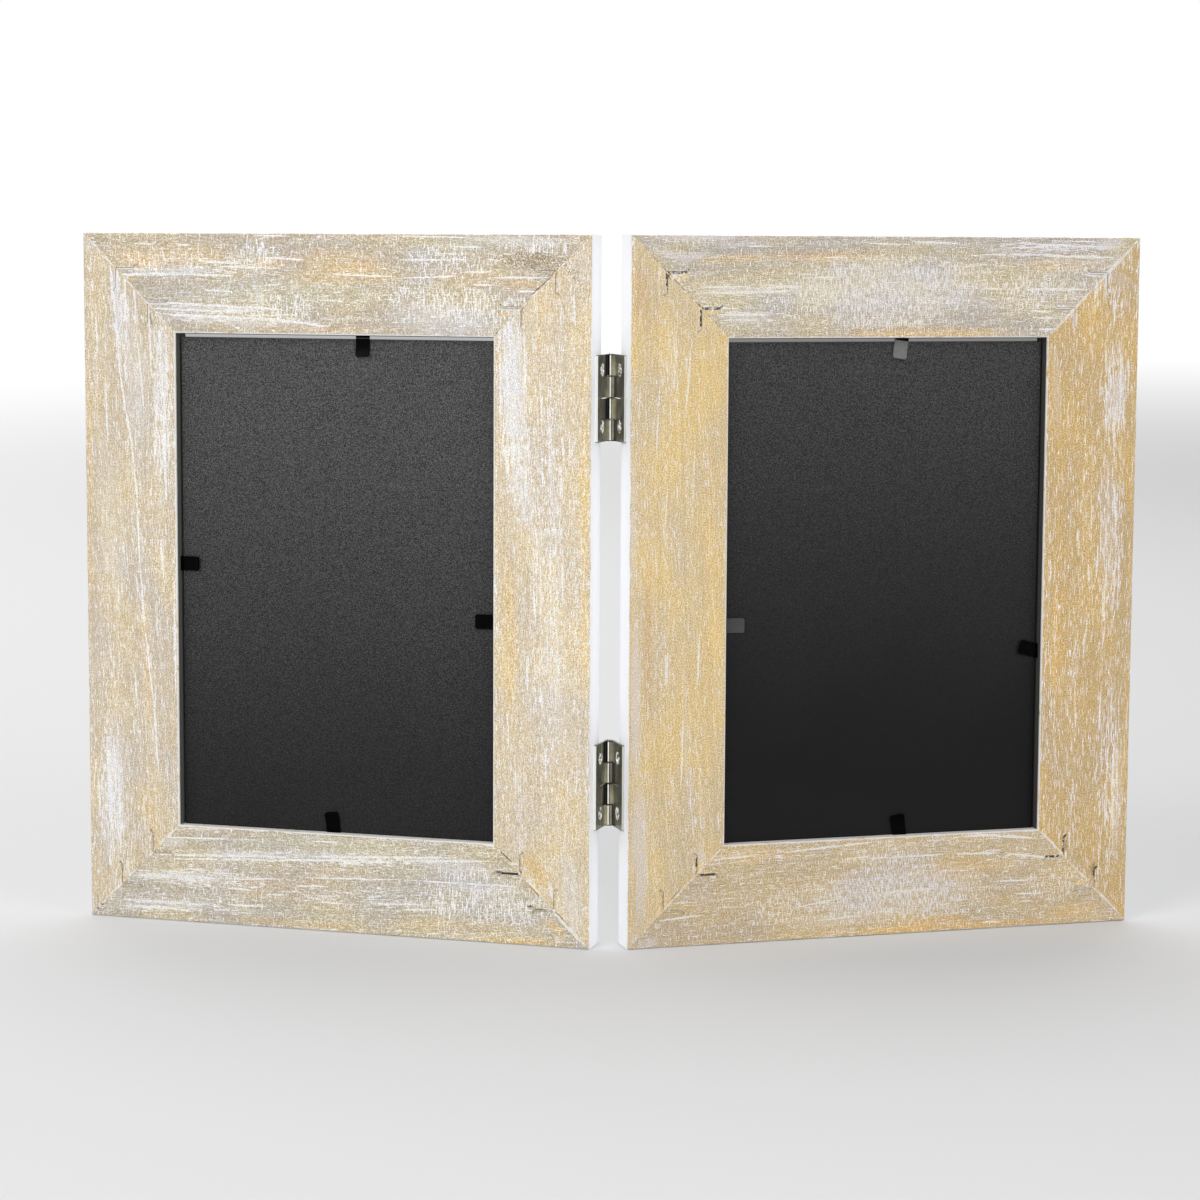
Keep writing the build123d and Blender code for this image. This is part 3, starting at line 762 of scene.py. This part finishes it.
def boardFace(side):
    # black textured paper over fibreboard, greyer towards the top: a painted sheen; the left board is painted
    # lighter than the right as painted light
    bench = newMaterial(side + "_board_black")
    look, shades = boardLook, boardLook[side]
    u, v, w = panelPlace(bench, side)
    place = bench.join(u, v, w)
    pebble = bench.noise(place, *look["pebble"])
    cloud = bench.noise(place, *look["cloud"])
    paintedSheen = v.step(*shades["paintedSheen"]) + (cloud - 0.5) * look["clouding"]
    colour = bench.blend(paintedSheen.most(0.0).least(1.0), shades["low"], shades["high"])
    colour = bench.shade(colour, ((pebble - 0.5) * look["flecks"] + 1).most(look["darkest"]))
    roughness = (pebble - 0.5) * look["uneven"] + look["roughness"]
    relief, specular = look["relief"], look["specular"]
    return finishMaterial(bench, colour, roughness, pebble, relief, Specular_IOR_Level=specular)


steelLook = {
    "black": tint(3, 3, 3),
    # greyed and dim are a painted reflection on two tilted tabs of the right frame; the steel itself is black
    "greyed": tint(114, 114, 113),
    "dim": tint(78, 78, 77),
    "mottle": ((900,) * 3, 41, 3.0, 0.6),
    "wearAndHighlight": ((220,) * 3, 42, 2.0, 0.5),
    "roughness": (0.3, 0.7, 0.30, 0.46),
    "relief": 0.00001,
    "specular": 0.03,
}


def tabSteel(name, colour):
    bench = newMaterial(name)
    place = objectPlace(bench)
    mottle = bench.noise(place, *steelLook["mottle"])
    shade = bench.shade(colour, mottle * 0.5 + 0.75)
    roughness = bench.noise(place, *steelLook["wearAndHighlight"]).ramp(*steelLook["roughness"])
    relief, specular = steelLook["relief"], steelLook["specular"]
    return finishMaterial(bench, shade, roughness, mottle, relief, Specular_IOR_Level=specular)


blackSteel = tabSteel("tab_black", steelLook["black"])
# the top and hinge-side tabs of the right frame are painted grey as a painted reflection
tabsWithPaintedReflection = {
    "right_tab_top": tabSteel("tab_greyed", steelLook["greyed"]),
    "right_tab_hinge_side": tabSteel("tab_dim", steelLook["dim"]),
}
for side in sides:
    give(side + "_backing_board", boardFace(side))
    give(side + "_tab_roots", blackSteel)
    for edge in ("top", "bottom", "hinge_side", "outer"):
        name = side + "_tab_" + edge
        give(name, tabsWithPaintedReflection.get(name, blackSteel))
print("boards and tabs finished")


nickelLook = {
    "plate": tint(130, 128, 110),
    "barrel": tint(188, 184, 158),
    "bright": tint(250, 250, 246),
    "shadeAndSeams": tint(10, 10, 8),
    "foot": 35.5,            # a height where a row of knuckles begins
    "row": 6.5,              # height of one knuckle
    "reach": 11.3,           # depth of the leaf's far end
    "cloudy": ((260, 260, 180), 51, 3.0, 0.6),
    "rolled": ((2600, 2600, 90), 52, 2.0, 0.6),
    "rows": {"left": (0.49, 0.51), "right": (0.51, 0.49)},    # the other leaf's knuckles
    "seam": (0.028, 0.014),
    "depths": {"barrel": (1.6, 1.5), "gap": (4.5, 4.0), "litBeside": (3.2, 2.8)},
    "shadedFlank": {"left": (-0.9, -1.0), "right": (-0.42, -0.52)},
    # line and end are painted highlights, end weaker on the right leaf; groove is a painted dark reflection
    # beside the line; flank is painted shade
    "line": (-0.2, 0.3, 0.19, 0.09),    # where it lies across the barrel, how it wanders, its soft edge
    "darkReflection": (0.18, 0.2, 0.1),
    "end": {"left": 1.0, "right": 0.6},
    "tarnish": (0.35, 0.7),
    "tarnished": 0.4,
    "roughness": (0.3, 0.7, 0.24, 0.40),
    "metallic": 0.6,
    "glow": (0.2, 0.08, 0.3),    # painted glow of the barrel, beside it, and of the highlight line
    "relief": 0.000004,
}


def nickelLeaf(side):
    # nickel with painted shade beside the other leaf's knuckles and on the barrel's far flank, dark seams
    # between the knuckles, and painted highlights: a bright line down the barrel and the leaf's end edge,
    # with the barrel and the rows beside it painted lighter and glowing
    look = nickelLook
    bench = newMaterial(side + "_nickel")
    place = objectPlace(bench)
    cloudy = bench.noise(place, *look["cloudy"])
    rolled = bench.noise(place, *look["rolled"])
    u, v, w = panelPlace(bench, side)
    x = place.parts()[0] / mm
    barrel, gap, litBeside = (w.step(*depths) for depths in look["depths"].values())

    pair = ((v - look["foot"]) / (look["row"] * 2)).sum("FRACT")
    others = pair.step(*look["rows"][side])
    seam = (pair - 0.5).size().least(0.5 - (pair - 0.5).size()).step(*look["seam"])
    gap = (1 - barrel) * others * gap
    shadedFlank = barrel * (x * sides[side]).step(*look["shadedFlank"][side])
    middle, wander, *edge = look["line"]
    line = barrel * (x - middle + (cloudy - 0.5) * wander).size().step(*edge) * (1 - seam)
    middle, *edge = look["darkReflection"]
    darkReflection = barrel * (x - middle).size().step(*edge)
    end = w.step(look["reach"] - 0.3, look["reach"] - 0.1) * look["end"][side]

    # painted light: the barrel and the rows beside it take the lighter barrel colour
    near = barrel.most((1 - others) * litBeside)
    cast = bench.blend(near, look["plate"], look["barrel"])
    colour = bench.blend(cloudy.step(*look["tarnish"]), cast, bench.shade(cast, look["tarnished"]))
    # painted shade in the gap and on the flank, a painted dark reflection, and the seams
    shadeAndSeams = gap.most(shadedFlank).most(darkReflection * 0.8).most(seam * barrel)
    # painted highlights along the barrel and on the leaf's end edge
    wearAndHighlight = line.most(end)
    colour = bench.blend(wearAndHighlight, bench.blend(shadeAndSeams, colour, look["shadeAndSeams"]), look["bright"])
    roughness = (cloudy * 0.6 + rolled * 0.4).ramp(*look["roughness"])
    metal = (1 - wearAndHighlight.most(shadeAndSeams)) * look["metallic"]
    onBarrel, beside, onLine = look["glow"]
    glow = bench.shade(colour, barrel * onBarrel + near * beside + line * onLine)
    return finishMaterial(bench, colour, roughness, rolled, look["relief"], glow, Metallic=metal)


screwLook = {
    # the near-white colour and the glow are a painted highlight on the screw heads
    "colour": tint(250, 248, 242),
    "cloudy": ((900,) * 3, 53, 2.0, 0.6),
    "shades": (0.42, 0.58, 0.12, 1.0),
    "roughness": (0.3, 0.7, 0.14, 0.3),
    "relief": 0.00002,
    "glow": 0.35,
    "metallic": 0.4,
}


def nickelScrew():
    look = screwLook
    bench = newMaterial("nickel_screw")
    cloudy = bench.noise(objectPlace(bench), *look["cloudy"])
    colour = bench.shade(look["colour"], cloudy.ramp(*look["shades"]))
    roughness = cloudy.ramp(*look["roughness"])
    # painted light: the screws glow
    glow = bench.shade(colour, look["glow"])
    return finishMaterial(bench, colour, roughness, cloudy, look["relief"], glow, Metallic=look["metallic"])


nailLook = {
    "steel": tint(58, 52, 42),
    "crust": tint(208, 194, 166),
    # where the steel shows; the rest lies under filler and lime
    "left": [
        (28, 22, 22, 22, 1.2, 1.6), (18, 12, 12, 12, 1.2, 1.6), (145, 12, 151, 12.6, 1.0),
        (136, 22, 132, 21.6, 0.8),
    ],
    "right": [
        (11, 203, 13, 196, 1.6), (12, 202.6, 18.6, 203, 1.4), (21, 192, 22, 186, 1.2),
        (21, 192, 29, 193, 0.9), (22.4, 28, 22.4, 23, 1.3), (22, 22, 28, 22, 1.1),
        (12.2, 19, 12.2, 12, 1.3), (12, 12, 18, 12.2, 1.2), (143, 28, 143, 22, 1.3),
        (141, 22, 136, 21.6, 1.2), (153, 20, 153, 13, 1.4), (151, 12.4, 146, 12, 1.2),
    ],
    "edge": 0.6,
    "lumps": ((1.1,) * 3, 61, 3.0, 0.7),
    "hides": (0.34, 0.62),
    "shows": (0.05, 0.30),
    "limed": (0.50, 0.60),
    "white": ((60, 100), (80, 120)),    # all white towards the outer top corner
    "roughness": (0.85, 0.45),
    "relief": 0.00006,
}


def nailSteel(side):
    # corner nails, dark where they show, else crusted with wood filler and lime
    look = nailLook
    bench = newMaterial(side + "_nail_steel")
    u, v, w = panelPlace(bench, side)
    crust = bench.noise(bench.join(u, v, w), *look["lumps"])
    shows = bench.marks([bench.spread(u), bench.spread(v)], look[side], look["edge"])
    steel = (shows - crust.ramp(*look["hides"]) * 1.1).step(*look["shows"])
    outerTop = u.step(*look["white"][0]) * v.step(*look["white"][1])
    limed = crust.step(*look["limed"]).most(outerTop)
    dull = bench.blend(limed, look["crust"], limeColours[side]["chalk"])
    colour = bench.blend(steel, dull, look["steel"])
    return finishMaterial(bench, colour, steel.ramp(0, 1, *look["roughness"]), crust, look["relief"])


screwNickel = nickelScrew()
leafNickel = {side: nickelLeaf(side) for side in sides}
for level in ("upper", "lower"):
    give(level + "_hinge_pin", screwNickel)
    for side in sides:
        give(f"{level}_hinge_{side}_leaf", leafNickel[side])
        give(f"{level}_hinge_{side}_screws", screwNickel)
for side in sides:
    give(side + "_corner_nails", nailSteel(side))
print("hinges and nails finished")


# Wood filler squeezed out along the mitres, and crumbs of torn wood and lime at the nails
fillerLook = {
    "left": [
        ((163.0, 213.0), (134.2, 184.2)), ((1.6, 1.6), (29.0, 29.0)),
        ((163.0, 1.0), (134.2, 29.8)), ((3.0, 211.0), (29.8, 184.2)),
    ],
    "right": [
        ((163.0, 213.0), (134.2, 184.2)), ((3.0, 3.0), (29.8, 29.8)),
        ((163.0, 1.0), (134.2, 29.8)), ((2.4, 211.6), (29.8, 184.2)),
    ],
    "seeds": {"left": 3.0, "right": 8.0},
    "radius": 0.00030,
    "sunk": 0.00026,         # metres from the back to the bead's middle
    "swell": 1.0,            # how much its radius changes along the way
    "swellScale": 420.0,
    "swellLimits": (0.2, 1.15),
    "wander": 0.00022,
    "wanderScale": 900.0,
    "step": 0.0004,
    "sides": 8,
}
crumbLook = {
    # patches (u, v, half size) where the nails tore the wood
    "left": [
        (14, 14, 1.6), (21, 21, 1.8), (24, 24, 1.2), (152, 15, 1.2), (141, 24, 1.2), (28, 191, 1.0),
        (150, 200, 1.0),
    ],
    "right": [
        (13, 202, 1.8), (16, 202, 1.6), (22, 192, 1.6), (26, 192, 1.6), (22.6, 24, 1.2), (13, 13.6, 1.2),
        (142, 24, 1.6), (152, 13, 1.6), (150, 201, 1.6), (142, 191, 1.2),
    ],
    "seeds": {"left": 11, "right": 12},
    "sunk": 0.05,            # millimetres below the back
    "density": 1600000.0,
    "least": 0.00012,
    "most": 0.00042,
    "shape": (1.5, 0.6, 0.45),
    "patchy": ((700,) * 3, 91, 1.0, 0.5),
    "fine": ((4000,) * 3, 92, 1.0, 0.5),
    "limed": (0.52, 0.44),
    "roughness": 0.8,
    "relief": 0.00004,
}


class GrowingBench(Bench):
    # a tree of Geometry Nodes whose result becomes a plain mesh
    def __init__(self, name):
        super().__init__(bpy.data.node_groups.new(name, "GeometryNodeTree"))
        for way in ("INPUT", "OUTPUT"):
            self.tree.interface.new_socket("Geometry", in_out=way, socket_type="NodeSocketGeometry")
        self.given = self.node("NodeGroupInput")

    def field(self, place, scale, seed, out=0):
        # noise at a place in metres
        values = {"Vector": place, "Scale": scale, "Detail": 2.0, "W": seed}
        return self.node("ShaderNodeTexNoise", {"noise_dimensions": "4D"}, values, out)

    def finish(self, shape, material):
        real = self.node("GeometryNodeRealizeInstances", None, {0: shape})
        dressed = self.node("GeometryNodeSetMaterial", None, {"Geometry": real, "Material": material})
        self.node("NodeGroupOutput", None, {0: dressed})

    def grow(self, name, vertices, edges, faces):
        data = bpy.data.meshes.new(name + "_seed")
        data.from_pydata(vertices, edges, faces)
        seed = bpy.data.objects.new(name + "_seed", data)
        bpy.context.scene.collection.objects.link(seed)
        modifier = seed.modifiers.new("grow", "NODES")
        modifier.node_group = self.tree
        seen = seed.evaluated_get(bpy.context.evaluated_depsgraph_get())
        grown = bpy.data.objects.new(name, bpy.data.meshes.new_from_object(seen))
        grown.data.name = name
        bpy.data.objects.remove(seed)
        bpy.context.scene.collection.objects.link(grown)
        return grown


def crumbMaterial(side):
    # torn wood, ochre, with lime on it
    bench = newMaterial(side + "_filler_and_crumbs")
    look = crumbLook
    place = objectPlace(bench)
    limed = bench.noise(place, *look["patchy"]).step(*look["limed"])
    fine = bench.noise(place, *look["fine"])
    ochre = bench.shade(limeColours["torn"], fine * 0.5 + 0.7)
    colour = bench.blend(limed, ochre, limeColours[side]["chalk"])
    return finishMaterial(bench, colour, look["roughness"], fine, look["relief"])


def mitreFiller(side, material):
    look, seed = fillerLook, fillerLook["seeds"][side]
    bench = GrowingBench("bead_along_mitres")
    line = bench.node("GeometryNodeMeshToCurve", None, {0: bench.given})
    values = {"Curve": line, "Length": look["step"]}
    line = bench.node("GeometryNodeResampleCurve", {"mode": "LENGTH"}, values)
    place = bench.node("GeometryNodeInputPosition")
    stray = bench.field(place, look["wanderScale"], seed, 1).vector("SUBTRACT", (0.5, 0.5, 0.5))
    offset = bench.shade(stray, look["wander"] * 2)
    line = bench.node("GeometryNodeSetPosition", None, {"Geometry": line, "Offset": offset})
    swell = (bench.field(place, look["swellScale"], seed + 5) - 0.5) * look["swell"] * 2 + 1
    least, most = look["swellLimits"]
    radius = swell.most(least).least(most) * look["radius"]
    values = {"Resolution": look["sides"], "Radius": 1.0}
    ring = bench.node("GeometryNodeCurvePrimitiveCircle", None, values)
    values = {"Curve": line, "Profile Curve": ring, "Scale": radius, "Fill Caps": True}
    bench.finish(bench.node("GeometryNodeCurveToMesh", None, values), material)
    depth = panel["back"] - look["sunk"] / mm
    vertices = [panelPoint(side, u, v, depth) for ends in look[side] for u, v in ends]
    edges = [(first, first + 1) for first in range(0, len(vertices), 2)]
    return bench.grow(side + "_mitre_filler", vertices, edges, [])


def tornWood(side, material):
    look, seed = crumbLook, crumbLook["seeds"][side]
    bench = GrowingBench("crumbs_on_patches")
    values = {"Mesh": bench.given, "Density": look["density"], "Seed": seed}
    points = bench.node("GeometryNodeDistributePointsOnFaces", {"distribute_method": "RANDOM"}, values)
    crumb = bench.node("GeometryNodeMeshIcoSphere", None, {"Radius": 1.0, "Subdivisions": 1})
    values = {2: 0.0, 3: 6.28, "Seed": seed + 1}
    spin = bench.node("FunctionNodeRandomValue", {"data_type": "FLOAT"}, values, 1)
    spin = bench.node("FunctionNodeEulerToRotation", None, {0: bench.join(0.0, 0.0, spin)})
    upright = Wire(bench, points.socket.node.outputs["Rotation"])
    turn = bench.node("FunctionNodeRotateRotation", {"rotation_space": "LOCAL"}, {0: upright, 1: spin})
    values = {2: look["least"], 3: look["most"], "Seed": seed}
    size = bench.node("FunctionNodeRandomValue", {"data_type": "FLOAT"}, values, 1)
    lengths = bench.join(*(size * share for share in look["shape"]))
    values = {"Points": points, "Instance": crumb, "Rotation": turn, "Scale": lengths}
    bench.finish(bench.node("GeometryNodeInstanceOnPoints", None, values), material)
    vertices, faces = [], []
    for u, v, half in look[side]:
        corners = ((-half, -half), (half, -half), (half, half), (-half, half))
        faces.append(tuple(range(len(vertices), len(vertices) + 4)))
        vertices += [panelPoint(side, u + du, v + dv, panel["back"] - look["sunk"]) for du, dv in corners]
    return bench.grow(side + "_torn_wood", vertices, [], faces)


for side in sides:
    crumbs = crumbMaterial(side)
    for piece in (mitreFiller(side, crumbs), tornWood(side, crumbs)):
        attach(piece, side + "_frame")
        print(piece.name, len(piece.data.vertices), "vertices")
print("filler and torn wood grown")


glassLook = {
    "tint": tint(222, 232, 229),
    "index": 1.5,
    "smear": ((14,) * 3, 71, 3.0, 0.6),
    "mirror": 0.9,           # how much of the light that a slanting pane throws back is kept
    "haze": 0.02,
    "roughness": (0.4, 0.75, 0.01, 0.05),
}


def glassPane():
    look = glassLook
    bench = newMaterial("clear_pane")
    smear = bench.noise(objectPlace(bench), *look["smear"])
    slant = bench.node("ShaderNodeFresnel", None, {"IOR": look["index"]})
    # light that leaves at the far face isn't held back, so the card behind stays bright
    leaving = bench.node("ShaderNodeNewGeometry", None, None, "Backfacing")
    alpha = (slant * (1 - leaving) * look["mirror"] + look["haze"] + smear * look["haze"]).least(1.0)
    roughness = smear.ramp(*look["roughness"])
    return finishMaterial(bench, look["tint"], roughness, Alpha=alpha, IOR=look["index"])


cardLook = {
    "white": tint(243, 241, 235),
    "grey": tint(229, 226, 218),
    "pulp": ((1.6,) * 3, 81, 4.0, 0.6),
    "cloud": ((0.05,) * 3, 82, 2.0, 0.5),
    "roughness": 0.72,
    "relief": 0.00002,
    "thinner": 0.00003,      # metres, so that no two faces share one plane
}


def cardInsert(side):
    # the plain card that a new frame is sold with, mottled like cartridge paper
    look = cardLook
    bench = newMaterial(side + "_plain_card")
    u, v, w = panelPlace(bench, side)
    place = bench.join(u, v, w)
    pulp = bench.noise(place, *look["pulp"])
    cloud = bench.noise(place, *look["cloud"])
    colour = bench.blend(pulp * 0.5 + cloud * 0.5, look["white"], look["grey"])
    return finishMaterial(bench, colour, look["roughness"], pulp, look["relief"])


pane = glassPane()
for side in sides:
    give(side + "_glass", pane)
    card = side + "_photo_insert"
    give(card, cardInsert(side))
    shrink = nodes[card].modifiers.new("thinner", "DISPLACE")
    shrink.strength = -cardLook["thinner"]
    shrink.mid_level = 0.0
print("glass and inserts finished")


# The stage: a pale floor that fades to the white of the room
stageLook = {
    "floor": (0.665, 0.665, 0.67, 1),
    # the fade is centred right of the frames and stretched across, so the floor is painted lighter to the
    # left: painted light
    "centre": (-0.9, 0.0, 0.0),
    "stretch": (2.6, 1.35, 1.0),
    "fade": (1.6, 7.0),      # metres from the centre
    "ease": 1.4,
    "radius": 14.0,
    "drop": 0.0002,          # metres below the feet
    "room": 0.50,            # strength of the room's light
}


def seenDirectly(bench):
    light = bench.node("ShaderNodeLightPath")
    rays = ("Is Camera Ray", "Is Transmission Ray", "Is Glossy Ray")
    camera, through, mirrored = (Wire(bench, light.socket.node.outputs[ray]) for ray in rays)
    return camera.most(through).most(mirrored)


def makeFloor():
    mesh = bmesh.new()
    bmesh.ops.create_circle(mesh, cap_ends=True, radius=stageLook["radius"], segments=96)
    data = bpy.data.meshes.new("floor")
    for vertex in mesh.verts:
        vertex.co.z = -stageLook["drop"]
    mesh.to_mesh(data)
    mesh.free()
    floor = bpy.data.objects.new("floor", data)
    bpy.context.scene.collection.objects.link(floor)
    bench = newMaterial("pale_floor")
    # painted light: the floor turns white with distance from a point right of the frames, faster to the left
    away = objectPlace(bench).vector("ADD", stageLook["centre"]).vector("MULTIPLY", stageLook["stretch"])
    reach = bench.node("ShaderNodeVectorMath", {"operation": "LENGTH"}, {0: away}, "Value")
    matt = bench.node("ShaderNodeBsdfDiffuse", None, {"Color": stageLook["floor"]})
    white = bench.node("ShaderNodeEmission", None, {"Color": (1, 1, 1, 1), "Strength": 1.0})
    share = (1 - reach.ramp(*stageLook["fade"], 1.0, 0.0) ** stageLook["ease"]) * seenDirectly(bench)
    mixed = bench.node("ShaderNodeMixShader", None, {0: share, 1: matt, 2: white})
    bench.node("ShaderNodeOutputMaterial", None, {"Surface": mixed})
    data.materials.append(bench.material)


def makeRoom():
    world = bpy.data.worlds.new("room")
    world.use_nodes = True
    world.node_tree.nodes.clear()
    bench = Bench(world.node_tree)
    strength = seenDirectly(bench).ramp(0, 1, stageLook["room"], 1.0)
    shine = bench.node("ShaderNodeBackground", None, {"Color": (1, 1, 1, 1), "Strength": strength})
    bench.node("ShaderNodeOutputWorld", None, {"Surface": shine})
    bpy.context.scene.world = world


lampLooks = {
    "key": {"place": (-1.5, -1.9, 1.7), "size": 1.3, "power": 27.8, "colour": (1.0, 0.995, 0.985)},
    "fill": {"place": (1.8, -1.7, 1.1), "size": 1.3, "power": 17.4, "colour": (0.98, 0.99, 1.0)},
    "back": {"place": (0.0, 0.9, 1.7), "size": 1.5, "power": 16.6, "colour": (1.0, 1.0, 1.0)},
    "front": {
        "place": (0.03, -1.35, 0.36), "size": 0.09, "tall": 0.66, "power": 1.5, "colour": (1.0, 1.0, 1.0),
    },
}


def makeLamps():
    aim = Vector((0, 0, 0.1))    # the middle of the frames
    for name, look in lampLooks.items():
        data = bpy.data.lights.new(name, "AREA")
        data.shape = "RECTANGLE"
        data.size = look["size"]
        data.size_y = look.get("tall", look["size"])
        data.energy = look["power"]
        data.color = look["colour"]
        lamp = bpy.data.objects.new(name, data)
        lamp.location = look["place"]
        lamp.rotation_euler = (aim - Vector(look["place"])).to_track_quat("-Z", "Y").to_euler()
        bpy.context.scene.collection.objects.link(lamp)


cameraLook = {
    "place": (-0.001562, -0.973602, 0.210774),
    "pitch": 6.334,          # degrees down
    "roll": 0.286,
    "yaw": 0.085,
    "focal": 3192.2,         # in the image's pixels
    "image": 1200,
    "sensor": 36.0,
}


def makeCamera():
    look = cameraLook
    data = bpy.data.cameras.new("camera")
    data.sensor_width = look["sensor"]
    data.lens = look["focal"] / look["image"] * look["sensor"]
    data.clip_start = 0.01
    camera = bpy.data.objects.new("camera", data)
    turn = Matrix.Rotation(math.radians(look["yaw"]), 4, "Z")
    tip = Matrix.Rotation(math.radians(90 - look["pitch"]), 4, "X")
    roll = Matrix.Rotation(math.radians(look["roll"]), 4, "Z")
    camera.matrix_world = Matrix.Translation(look["place"]) @ turn @ tip @ roll
    bpy.context.scene.collection.objects.link(camera)
    bpy.context.scene.camera = camera


makeFloor()
makeRoom()
makeLamps()
makeCamera()
bpy.context.scene.view_settings.view_transform = "Standard"
print("stage, lamps and camera set")
